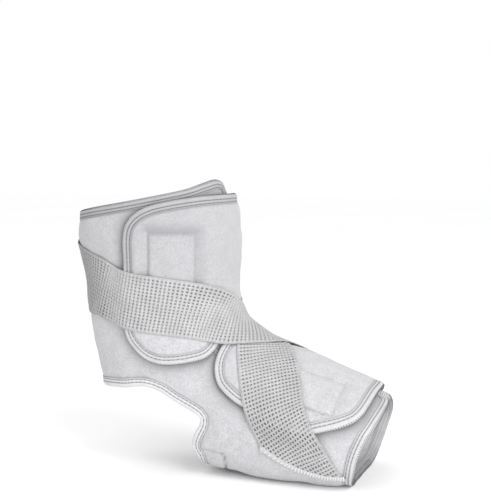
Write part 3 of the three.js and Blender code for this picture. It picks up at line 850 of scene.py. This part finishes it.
FLEECE = fleece_material("fleece", (0.62, 0.616, 0.638), (0.52, 0.516, 0.538))
TAPE = tape_material("edge_tape", (0.645, 0.641, 0.655), (0.575, 0.571, 0.585))
# A paler copy of the edge tape for the heel opening, painted lighter for the light that this low
# tape catches
LIT_HEEL_TAPE = tape_material("lit_heel_tape", (0.77, 0.766, 0.78), (0.7, 0.696, 0.71))
WEBBING = yarn_material("webbing", (0.485, 0.481, 0.485), (0.42, 0.416, 0.42), (0.14, 0.14, 0.145))
THREAD = yarn_material("thread", (0.2, 0.2, 0.21), (0.15, 0.15, 0.16), (0.08, 0.08, 0.08))
# A thread colour that is partly the overlock thread's own and partly painted shadow at the tape's
# edge
DARK_THREAD_AND_SHADOW = yarn_material("dark_thread_and_shadow", (0.1, 0.1, 0.105), (0.07, 0.07, 0.075),
                            (0.05, 0.05, 0.05))
SEAM_THREAD = yarn_material("seam_thread", (0.47, 0.47, 0.49), (0.42, 0.42, 0.44), (0.2, 0.2, 0.2))
PALE_THREAD = yarn_material("pale_thread", (0.66, 0.66, 0.67), (0.59, 0.59, 0.6), (0.3, 0.3, 0.3))


# Padded sheets

def make_wrap():
    outer = Loop(WRAP_EDGE, SHEET_DENSITY["wrap"], -1)
    inner = Loop(HEEL_EDGE, SHEET_DENSITY["wrap"], 1)
    inner_collar = [inner.inset(distance) for distance in COLLAR]
    outer_collar = [outer.inset(distance) for distance in COLLAR]

    def rings(steps):
        between = np.linspace(inner_collar[-1], outer_collar[-1], steps + 1)[1:-1]
        return np.array([*inner_collar, *between, *outer_collar[::-1]])

    face = rings(WRAP_RINGS["face"])
    lining = rings(WRAP_RINGS["lining"])[::-1]
    face_height = wrap_height(face)
    lining_height = wrap_lining_height(lining)
    face_height[[0, 1, -2, -1]] = -EDGE_TUCK
    lining_height[[0, 1, -2, -1]] = EDGE_TUCK - WRAP_THICKNESS
    points = np.concatenate([skin_points(face, face_height), skin_points(lining, lining_height)])
    shades = np.concatenate([wrap_shades(face), np.zeros(lining_height.shape)])
    piece = ring_piece(points, shades, outer.travelled, np.arange(len(points) + 1.0))
    thing = piece.make("main_wrap_fleece", FLEECE, "fleece", "main_wrap")


# Painted shade on the wrap: in its seams, under the tape and the webbing, beside the flaps and
# towards the cuff
def wrap_shades(places):
    points = form_points(places)
    seams = [SEAM_SHADE["sole"] * seam.groove(points) for seam in sole_seams]
    shade = np.maximum.reduce([edge_shades(wrap_edge_distance(points)), *seams,
                               covered_shades(places, points), beside_flap_shades(points)])
    return np.minimum(shade + WRAP_SHADE * height_shades(points), 1)


# Painted shade on a flap: in its stitched seam, under the tape and the webbing, in the hollow by its
# rectangle and towards the cuff
def flap_shades(flap, places, part):
    points = form_points(places)
    seam = SEAM_SHADE[part] * flap.patch.groove(points) / flap.patch.depth
    shade = np.maximum.reduce([edge_shades(flap.loop.distance(points)), seam,
                               covered_shades(places, points)])
    if part == "middle":
        shade = np.maximum(shade, hollow_shades(flap, places, points))
    return np.minimum(shade + height_shades(points), 1)


# Painted shade on the fleece where it goes under the tape
def edge_shades(distance):
    return EDGE_SHADE["shade"] * np.exp(-((distance - TAPE_REACH) / EDGE_SHADE["width"]) ** 2)


# Painted shadow on the fleece under the open webbing, where the nap is also flattened
def covered_shades(places, points):
    under = -COVERED_SHADE["from"] - outside_straps(places, points)
    return COVERED_SHADE["shade"] * smooth(under / COVERED_SHADE["fade"])


# Painted shadow on the wrap close beside the flaps that rest on it
def beside_flap_shades(points):
    distance = np.minimum(leg_flap.loop.distance(points), foot_flap.loop.distance(points))
    soft = FLAP_SHADOW["soft"] * np.exp(-(distance / FLAP_SHADOW["reach"]) ** 2)
    core = FLAP_SHADOW["core"] * np.exp(-(distance / FLAP_SHADOW["core_reach"]) ** 2)
    return soft + core


# Painted shade that deepens upwards towards the cuff, where the light falls off
def height_shades(points):
    return FLAP_SHADE["shade"] * smooth((points[..., 2] - FLAP_SHADE["from"]) / FLAP_SHADE["fade"])


# Painted shade in the hollow over and in front of a stitched rectangle, on the slopes that face away
# from the light
def hollow_shades(flap, places, points):
    flat = points.reshape(-1, 3)
    nearest = np.array([flap.patch.tree.find(point)[0] for point in flat]).reshape(points.shape)
    away = unit(points - nearest)
    facing = np.clip(HOLLOW["up"] * away[..., 2] + HOLLOW["front"] * away[..., 0], 0, 1)
    near = 1 - smooth(flap.patch.distance(points) / flap.padding["reach"])
    outer = ~inside(flap.patch.rows, places)
    drop = (flap.padding["swell"] - flap.padding["seam"]) / HOLLOW["swell"]
    return HOLLOW["shade"] * drop * near * facing * outer


# The top, bottom, left and right sides of a grid, as numbers of the ring of points round it
def ring_sides(width, depth):
    i = np.arange(width + 1)
    j = np.arange(depth + 1)
    return i, 2 * width + depth - i, -j, width + j


def fill_grid(ring, width, depth):
    top, bottom, left, right = (ring[side] for side in ring_sides(width, depth))
    s = np.linspace(0, 1, width + 1)[None, :, None]
    t = np.linspace(0, 1, depth + 1)[:, None, None]
    grid = left[:, None] * (1 - s) + right[:, None] * s + top[None] * (1 - t) + bottom[None] * t
    ends = (top[0] * (1 - s) + top[-1] * s) * (1 - t) + (bottom[0] * (1 - s) + bottom[-1] * s) * t
    return grid - ends


def make_flap(flap):
    density = SHEET_DENSITY[flap.name]
    edge = Loop(flap.edge, density, 1)
    collar = np.array([edge.inset(distance) for distance in COLLAR])
    width, depth = (columns * density for columns, _ in flap.edge[:2])
    middle = fill_grid(collar[-1], width, depth)[1:-1, 1:-1]
    piece = Piece()

    # One side of the flap, turned over or not, with its rim's points given back
    def add_side(collar_heights, rim_height, middle_heights, shades, turn):
        collar_heights[[0, 1]] = rim_height
        rings = piece.add_points(skin_points(collar, collar_heights), shades[0])
        cells = np.empty((depth + 1, width + 1), int)
        sides = (rings[-1][side] for side in ring_sides(width, depth))
        cells[0], cells[-1], cells[:, 0], cells[:, -1] = sides
        cells[1:-1, 1:-1] = piece.add_points(skin_points(middle, middle_heights), shades[1])
        quads = np.stack([cells[:-1, :-1], cells[:-1, 1:], cells[1:, 1:], cells[1:, :-1]], -1)
        piece.add_band(*(rings[:-1], rings[1:])[::turn])
        piece.add_quads(quads[..., ::turn])
        return rings[0]

    shades = flap_shades(flap, collar, "collar"), flap_shades(flap, middle, "middle")
    top = add_side(flap.height(collar), FLAP_TOP - EDGE_TUCK, flap.height(middle), shades, 1)
    under = np.full(collar.shape[:2], LAYER_GAP + FLAP_LINING["collar"])
    bottom = add_side(under, LAYER_GAP + EDGE_TUCK, LAYER_GAP + FLAP_LINING["middle"], (0, 0), -1)
    piece.add_band(bottom, top)
    thing = piece.make(flap.name + "_fleece", FLEECE, "fleece", flap.name)


# Stitches

def add_stitches(piece, places_at, length, height_at):
    count = max(2, round(length / STITCH_PITCH))
    rise = STITCH_RISE["arch"] * STITCH_TAPER - STITCH_RISE["sink"]
    for start in np.arange(count) * length / count:
        places = places_at(start + np.linspace(0, STITCH_LENGTH, len(STITCH_TAPER)))
        points = skin_points(places, height_at(places) + THREAD_RADIUS * rise)
        add_tube(piece, points, form_normals(places), 2 * THREAD_RADIUS, 2 * THREAD_RADIUS,
                 YARN_SIDES, taper=STITCH_TAPER)


def loop_track(loop, distance):
    places = loop.inset(distance)
    closed = np.vstack([places, places[:1]])
    return lambda travel: between_rows(np.mod(travel, loop.length), loop.travelled, closed)


def make_patch_stitches(name, flap):
    piece = Piece()
    places = flap.patch.places
    travelled = travelled_along(form_points(places))
    add_stitches(piece, lambda travel: between_rows(travel, travelled, places), travelled[-1],
                 flap.height)
    piece.make(name, SEAM_THREAD, "fleece")


# Folded tape round an edge

# How deep the tape's stitched grooves are at a distance from its edge, from 0 to 1
def tape_groove(distance):
    return max(math.exp(-((distance - groove) / TAPE_GROOVE_WIDTH) ** 2) for groove in TAPE_GROOVES)


class Tape:
    """Tape folded over the edge of a sheet and stitched through, with threads over its fold."""

    def __init__(self, name, loop, sheet, material, thread_turn=None):
        self.name = name
        self.loop = loop
        self.sheet = sheet
        self.material = material
        self.thread_turn = thread_turn
        self.upper, self.lower = sheet["tape"]
        self.middle = (self.upper + self.lower) / 2
        self.radius = (self.upper - self.lower) / 2
        self.centre = self.radius - TAPE_NOSE

    # The distance from the sheet's edge and the height of a place on the fold
    def on_fold(self, turn, radius):
        return self.centre + radius * math.cos(turn), self.middle + radius * math.sin(turn)

    # Rows of distance and height over the tape, and back through its inside
    def rows(self):
        flat = [row for row in TAPE_ROWS if row > self.centre + TAPE_FOLD["clear"]]
        turns = np.radians(np.linspace(90, 270, TAPE_FOLD["steps"]))
        over = [(row, self.upper) for row in flat]
        over += [self.on_fold(turn, self.radius) for turn in turns]
        over += [(row, self.lower) for row in flat[::-1]]
        low, high = self.lower + TAPE_THICKNESS, self.upper - TAPE_THICKNESS
        nose = TAPE_THICKNESS - TAPE_NOSE
        within = [(TAPE_REACH, low), (self.centre, low), (nose, self.middle - TAPE_FOLD["inside"]),
                  (nose, self.middle + TAPE_FOLD["inside"]), (self.centre, high),
                  (TAPE_REACH, high)]
        return over, within

    # The upper face at a distance from the edge, with the straps pressing it down
    def top(self, places, distance):
        points = form_points(places)
        pressed, _ = strap_pressure(places, points)
        sunk = TAPE_GROOVE_DEPTH * tape_groove(distance) + self.sheet["pressed"] * pressed
        return self.upper - sunk + TAPE_EASE * quick_waves.at(points)

    def make(self):
        over, within = self.rows()
        rings, shades = [], []
        for step, (distance, height) in enumerate(over + within):
            places = self.loop.inset(distance)
            lift = self.top(places, distance) - self.upper
            share = (height - self.lower) / (self.upper - self.lower)
            rings.append(skin_points(places, height + lift * share))
            # Painted shade in the stitched grooves, along the tape's inner edge, over its inside and
            # deepening towards the cuff
            edge = math.exp(-((distance - TAPE_REACH) / TAPE_SHADE["width"]) ** 2)
            shade = TAPE_SHADE["groove"] * tape_groove(distance) + TAPE_SHADE["edge"] * edge
            if step >= len(over):
                shade = TAPE_SHADE["inside"]
            cuff = smooth((rings[-1][:, 2] - CUFF_SHADE["from"]) / CUFF_SHADE["fade"])
            shades.append(shade + CUFF_SHADE["shade"] * cuff)
        across = TAPE_ROW_LENGTH * np.arange(len(rings) + 1)
        piece = ring_piece(np.array(rings), np.array(shades), self.loop.travelled, across)
        piece.make(self.name + "_tape", self.material, "edge_tape", self.name + "_binding")

    def make_stitches(self):
        piece = Piece()
        for groove in TAPE_GROOVES:
            add_stitches(piece, loop_track(self.loop, groove), self.loop.length,
                         lambda places, distance=groove: self.top(places, distance))
        piece.make(self.name + "_stitches", THREAD, "edge_tape")

    # Threads that run over the fold, one after another; their near-black colour is partly the
    # thread's own and partly painted shadow in the gap at the tape's edge
    def make_edge_threads(self):
        piece = Piece()
        count = round(self.loop.length / EDGE_THREAD["pitch"])
        starts = np.arange(count) * self.loop.length / count
        turns = np.radians(np.linspace(*self.thread_turn, EDGE_THREAD["steps"]))
        rows = []
        for turn, lean in zip(turns, np.linspace(0, EDGE_THREAD["lean"], len(turns))):
            distance, height = self.on_fold(turn, self.radius + EDGE_THREAD["lift"])
            places = loop_track(self.loop, distance)(starts + lean)
            sag = (self.top(places, 0.0) - self.upper) * (1 + math.sin(turn)) / 2
            rows.append(skin_points(places, height + sag))
        rows = np.array(rows)
        centres = loop_track(self.loop, self.centre)(starts)
        outward = unit(rows - form_points(centres) - form_normals(centres) * self.middle)
        thick = 2 * EDGE_THREAD["radius"]
        for column in range(count):
            add_tube(piece, rows[:, column], outward[:, column], thick, thick,
                     EDGE_THREAD["sides"])
        piece.make(self.name + "_stitches_edge", DARK_THREAD_AND_SHADOW, "edge_tape")


# Webbing

# The highest of the wrap and the flaps
def top_height(places):
    points = form_points(places)
    height = wrap_height(places)
    for flap in (leg_flap, foot_flap):
        near = flap.loop.near(places)
        on_flap = flap.loop.holds(near) | (flap.loop.distance(points) < TAPE_NOSE)
        flap_top = np.maximum(flap.height(near), FLAP_TOP - FLAP_LEAST)
        height = np.where(on_flap, flap_top, height)
    return height


# All windows of values within a reach along one axis, with the end values carried on
def windows(values, reach, axis):
    width = [(0, 0)] * values.ndim
    width[axis] = (reach, reach)
    longer = np.pad(values, width, mode="edge")
    return np.lib.stride_tricks.sliding_window_view(longer, 2 * reach + 1, axis)


def spread(values, reaches):
    for axis, reach in enumerate(reaches):
        values = windows(values, reach, axis).max(-1)
    return values


def blur(values, sigmas):
    for axis, sigma in enumerate(sigmas):
        reach = int(3 * sigma)
        weights = np.exp(-0.5 * (np.arange(-reach, reach + 1) / sigma) ** 2)
        values = windows(values, reach, axis) @ (weights / weights.sum())
    return values


class Drape:
    """The webbing's lie over what is under it: pulled tight, so that it bridges each step."""

    def __init__(self, strap, height_at):
        self.strap = strap
        step, over = DRAPE["step"], DRAPE["over"]
        self.along = np.arange(0, strap.length + step, step)
        self.across = np.arange(-strap.half - over, strap.half + over + step / 2, step)
        along, across = np.meshgrid(self.along, self.across, indexing="ij")
        self.places = strap.places(along, across)
        raw = height_at(self.places)
        eased = blur(spread(raw, DRAPE["spread"]), DRAPE["blur"])
        self.heights = np.maximum(eased, raw) + YARN_CLEARANCE
        self.heights += self.bridge()
        self.tree = point_tree(form_points(self.places).reshape(-1, 3))

    # How far a tight strap stands off over a hollow: a share of the sag under its chords
    def bridge(self):
        points = skin_points(self.places, self.heights)
        normals = form_normals(self.places)
        index = np.arange(len(points))
        to_end = np.minimum(index, index[::-1])
        lift = np.zeros(self.heights.shape)
        for reach in BRIDGE["reach"]:
            room = np.minimum(reach, to_end)
            chord = (points[index - room] + points[index + room]) / 2
            lift = np.maximum(lift, ((chord - points) * normals).sum(-1))
        return blur(np.clip(BRIDGE["share"] * lift, 0, BRIDGE["most"]), DRAPE["bridge_blur"])

    def height(self, along, across):
        u = np.clip((along - self.along[0]) / DRAPE["step"], 0, len(self.along) - 1.001)
        v = np.clip((across - self.across[0]) / DRAPE["step"], 0, len(self.across) - 1.001)
        i, j = u.astype(int), v.astype(int)
        s, t = u - i, v - j
        h = self.heights
        return ((h[i, j] * (1 - s) + h[i + 1, j] * s) * (1 - t)
                + (h[i, j + 1] * (1 - s) + h[i + 1, j + 1] * s) * t)

    def nearest_height(self, points):
        found = [self.tree.find(point)[1] for point in points.reshape(-1, 3)]
        return self.heights.ravel()[found].reshape(points.shape[:-1])

    # A tube along the strap's surface, with painted shade added where the strap turns round the back
    # of the leg, away from the light
    def add_yarn(self, piece, along, across, offset, width, height, shade, sides=YARN_SIDES,
                 taper=1.0, at_back=True):
        along, across = np.broadcast_arrays(along, across)
        places = self.strap.places(along, across)
        points = skin_points(places, self.height(along, across) + offset)
        if at_back:
            shade = shade + back_shade(places)
        add_tube(piece, points, form_normals(places), width, height, sides, shade, taper)


# Painted shade on the webbing round the back of the leg
def back_shade(places):
    facing = np.cos(np.radians(places[..., 1] - BACK_SHADE["angle"]))
    shade = BACK_SHADE["shade"] * smooth(1 + BACK_SHADE["spread"] * (facing - 1))
    return shade * (places[..., 0] < BACK_SHADE["to_station"])


# A yarn's width: the weave is open near the strap's sewn end and closer further on
def yarn_width(yarn, distance):
    narrow, wide = yarn["width"]
    start, stop = OPEN_WEAVE
    return narrow + (wide - narrow) * smooth((distance - start) / (stop - start))


# Lengthwise yarns, each with its share of the full width; a thin one runs in each selvedge
def make_warps(name, drape):
    strap = drape.strap
    piece = Piece()
    lanes = [(WARP_INSET - strap.half + WARP_PITCH * number, 1.0) for number in range(WARP_COUNT)]
    selvedge = strap.half - SELVEDGE["inset"]
    lanes += [(-selvedge, SELVEDGE["share"]), (selvedge, SELVEDGE["share"])]
    for number, (lane, share) in enumerate(lanes):
        along = np.arange(strap.cut(lane), strap.end_limit(lane), RIB_PITCH / RIB_STEPS)
        wave = np.cos(np.pi * (along / RIB_PITCH + number))
        offset = WARP_YARN["offset"] + WARP_YARN["wave"] * wave
        # Painted shade: a little on every warp, and more where it dips under a rib
        shade = WARP_YARN["shade"] + DIP_SHADE * smooth(0.5 - wave / 2)
        width = yarn_width(WARP_YARN, along)
        drape.add_yarn(piece, along, lane, offset, share * width.max(), WARP_YARN["height"], shade,
                       taper=width / width.max())
    piece.make(name + "_warps", WEBBING, "webbing", name)


def make_ribs(name, drape):
    strap = drape.strap
    piece = Piece()
    lanes = np.arange(RIB_INSET - strap.half, strap.half - RIB_INSET / 2, WARP_PITCH / RIB_STEPS)
    cuts = strap.cut(lanes)
    limits = strap.end_limit(lanes)
    for number in range(1, int(strap.length / RIB_PITCH)):
        distance = number * RIB_PITCH
        kept = lanes[(cuts < distance) & (limits > distance)]
        if len(kept) < YARN_SIDES:
            continue
        wave = np.cos(np.pi * (number + (kept + strap.half - WARP_INSET) / WARP_PITCH))
        offset = RIB_YARN["offset"] - RIB_YARN["wave"] * wave
        # Painted shade where the rib dips under a warp
        shade = RIB_YARN["shade"] + DIP_SHADE * smooth(0.5 + wave / 2)
        width = float(yarn_width(RIB_YARN, distance))
        drape.add_yarn(piece, distance, kept, offset, width, RIB_YARN["height"], shade)
    piece.make(name + "_ribs", WEBBING, "webbing", name)


# The rolled hem that holds a strap's end on the edge of the sole, and the roll at its far end
def make_strap_ends(name, drape):
    strap = drape.strap
    piece = Piece()
    across = np.linspace(-strap.half - HEM["over"], strap.half + HEM["over"], ROLL_STEPS)
    drape.add_yarn(piece, strap.cut(across) + HEM["along"], across, HEM["lift"], HEM["width"],
                   HEM["height"], HEM["shade"], ROLL_SIDES, at_back=False)
    turn = np.radians(np.linspace(-90, 90, ROLL_STEPS))
    radius = strap.half - END_ROLL["inset"]
    drape.add_yarn(piece, strap.length - strap.half + radius * np.cos(turn), radius * np.sin(turn),
                   0, END_ROLL["width"], END_ROLL["height"], END_ROLL["shade"], ROLL_SIDES,
                   at_back=False)
    piece.make(name + "_ends", TAPE, "edge_tape")


# The pale thread that the hem is oversewn with
def make_hem_stitches(name, drape):
    strap = drape.strap
    piece = Piece()
    share = np.linspace(-1, 1, HEM_STITCH["steps"])
    lift = np.sqrt(np.clip(HEM_STITCH["arch"] - share ** 2, 0, 1))
    for lane in np.linspace(-strap.half, strap.half, round(WEBBING_WIDTH / HEM_STITCH["pitch"])):
        across = lane + HEM_STITCH["across"] * share
        along = strap.cut(across) + HEM["along"] + HEM_STITCH["along"] * share
        drape.add_yarn(piece, along, across, lift, HEM_STITCH["width"], HEM_STITCH["height"], 0,
                       at_back=False)
    piece.make(name + "_stitches", PALE_THREAD, "webbing")


# Floor, lights and camera

FLOOR = {"size": 8, "gap": 0.0002, "dark": 0.975, "light": 0.995}

# Soft lights, in metres and watts
LIGHTS = {
    "key": {"place": (0.85, -0.85, 1.15), "target": (0.03, 0, 0.03), "size": 0.6, "power": 6.5},
    "low_fill": {"place": (0.55, -0.7, 0.12), "target": (0.06, 0, -0.02), "size": 0.5, "power": 4.6},
}

CAMERA_POSITION = (312.6, -834.0, 170.7)
CAMERA_HEADING = 17.0
CAMERA_PITCH = 4.70
PHOTO_LONG_SIDE = 496
FOCAL_PIXELS = 1314


def make_floor():
    height = SOLE_LEVEL * METRES - FLOOR["gap"]
    bpy.ops.mesh.primitive_plane_add(size=FLOOR["size"], location=(0, 0, height))
    floor = bpy.context.object
    floor.name = "studio_floor"
    surface = Surface("studio_floor")
    dark, light = (FLOOR["dark"],) * 3, (FLOOR["light"],) * 3
    color = surface.ramp(surface.noise(3, 2), 0.2, 0.8, dark, light)
    surface.feed(surface.shader, {"Base Color": color, "Roughness": 0.9})
    floor.data.materials.append(surface.material)


def aim(thing, direction):
    thing.rotation_euler = direction.to_track_quat("-Z", "Y").to_euler()


def make_light(name, place, target, size, power):
    light = bpy.data.lights.new(name, "AREA")
    light.size = size
    light.energy = power
    thing = bpy.data.objects.new(name, light)
    thing.location = place
    aim(thing, Vector(target) - Vector(place))
    bpy.context.scene.collection.objects.link(thing)


def make_world():
    world = bpy.data.worlds.new("studio")
    world.use_nodes = True
    background = world.node_tree.nodes["Background"]
    background.inputs["Color"].default_value = (1, 1, 1, 1)
    background.inputs["Strength"].default_value = 1.0
    bpy.context.scene.world = world


def make_camera():
    camera = bpy.data.cameras.new("camera")
    camera.sensor_width = 36
    camera.lens = FOCAL_PIXELS * camera.sensor_width / PHOTO_LONG_SIDE
    camera.clip_start = 0.05
    camera.clip_end = 50
    thing = bpy.data.objects.new("camera", camera)
    thing.location = Vector(CAMERA_POSITION) * METRES
    heading, pitch = math.radians(CAMERA_HEADING), math.radians(CAMERA_PITCH)
    aim(thing, Vector((-math.sin(heading) * math.cos(pitch), math.cos(heading) * math.cos(pitch),
                       -math.sin(pitch))))
    bpy.context.scene.collection.objects.link(thing)
    bpy.context.scene.camera = thing
    bpy.context.scene.view_settings.view_transform = "Standard"


make_camera()
make_wrap()
for flap in (leg_flap, foot_flap):
    make_flap(flap)

tapes = [
    Tape("wrap_edge", wrap_loop, WRAP_SHEET, TAPE, (125, 255)),
    Tape("heel_opening", heel_loop, WRAP_SHEET, LIT_HEEL_TAPE),
    Tape("leg_flap", leg_flap.loop, FLAP_SHEET, TAPE, (140, 280)),
    Tape("foot_flap", foot_flap.loop, FLAP_SHEET, TAPE, (140, 280)),
]
for tape in tapes:
    tape.make()
for tape in tapes:
    tape.make_stitches()
    if tape.thread_turn:
        tape.make_edge_threads()
make_patch_stitches("leg_patch_stitches", leg_flap)
make_patch_stitches("foot_patch_stitches", foot_flap)

foot_drape = Drape(foot_strap, top_height)


def top_of_foot_strap(places):
    points = form_points(places)
    covered = foot_strap.outside(points, places) < UNDER_STRAP
    over_strap = foot_drape.nearest_height(points) + YARN_CLEARANCE
    return np.where(covered, over_strap, top_height(places))


ankle_drape = Drape(ankle_strap, top_of_foot_strap)
for name, drape in (("foot_strap", foot_drape), ("ankle_strap", ankle_drape)):
    make_warps(name, drape)
    make_ribs(name, drape)
    make_strap_ends(name, drape)
    make_hem_stitches(name, drape)

make_floor()
make_world()
for name, light in LIGHTS.items():
    make_light(name, **light)
